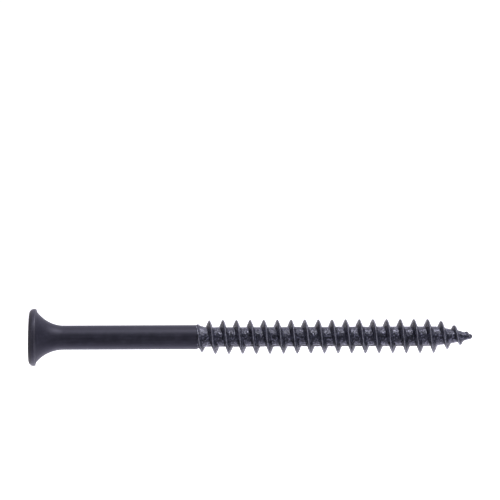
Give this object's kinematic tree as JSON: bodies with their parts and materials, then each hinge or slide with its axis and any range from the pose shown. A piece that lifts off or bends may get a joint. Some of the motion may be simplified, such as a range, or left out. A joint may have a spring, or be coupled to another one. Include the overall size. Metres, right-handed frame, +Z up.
{
  "type": "wood screw",
  "caption": "Bugle-head wood screw with a cross recess, plain upper shank, coarse right-hand rolled thread and a gimlet point, black phosphate finish",
  "frame": {"origin": "centre of the flat head face, where the screw's axis meets it", "axes": "the screw lies along X: -X is out of the head face, towards the driver, and +X is along the axis to the point, the way it is driven; +Z is up and Y is across"},
  "size_m": [0.0635, 0.0082, 0.0082],
  "materials": {
    "black_phosphate": "matte black phosphate conversion coating on carbon steel, lightly oiled"
  },
  "bodies": {
    "root": {"head": "black_phosphate", "shank": "black_phosphate", "core": "black_phosphate", "thread": "black_phosphate", "point": "black_phosphate"}
  },
  "joints": []
}
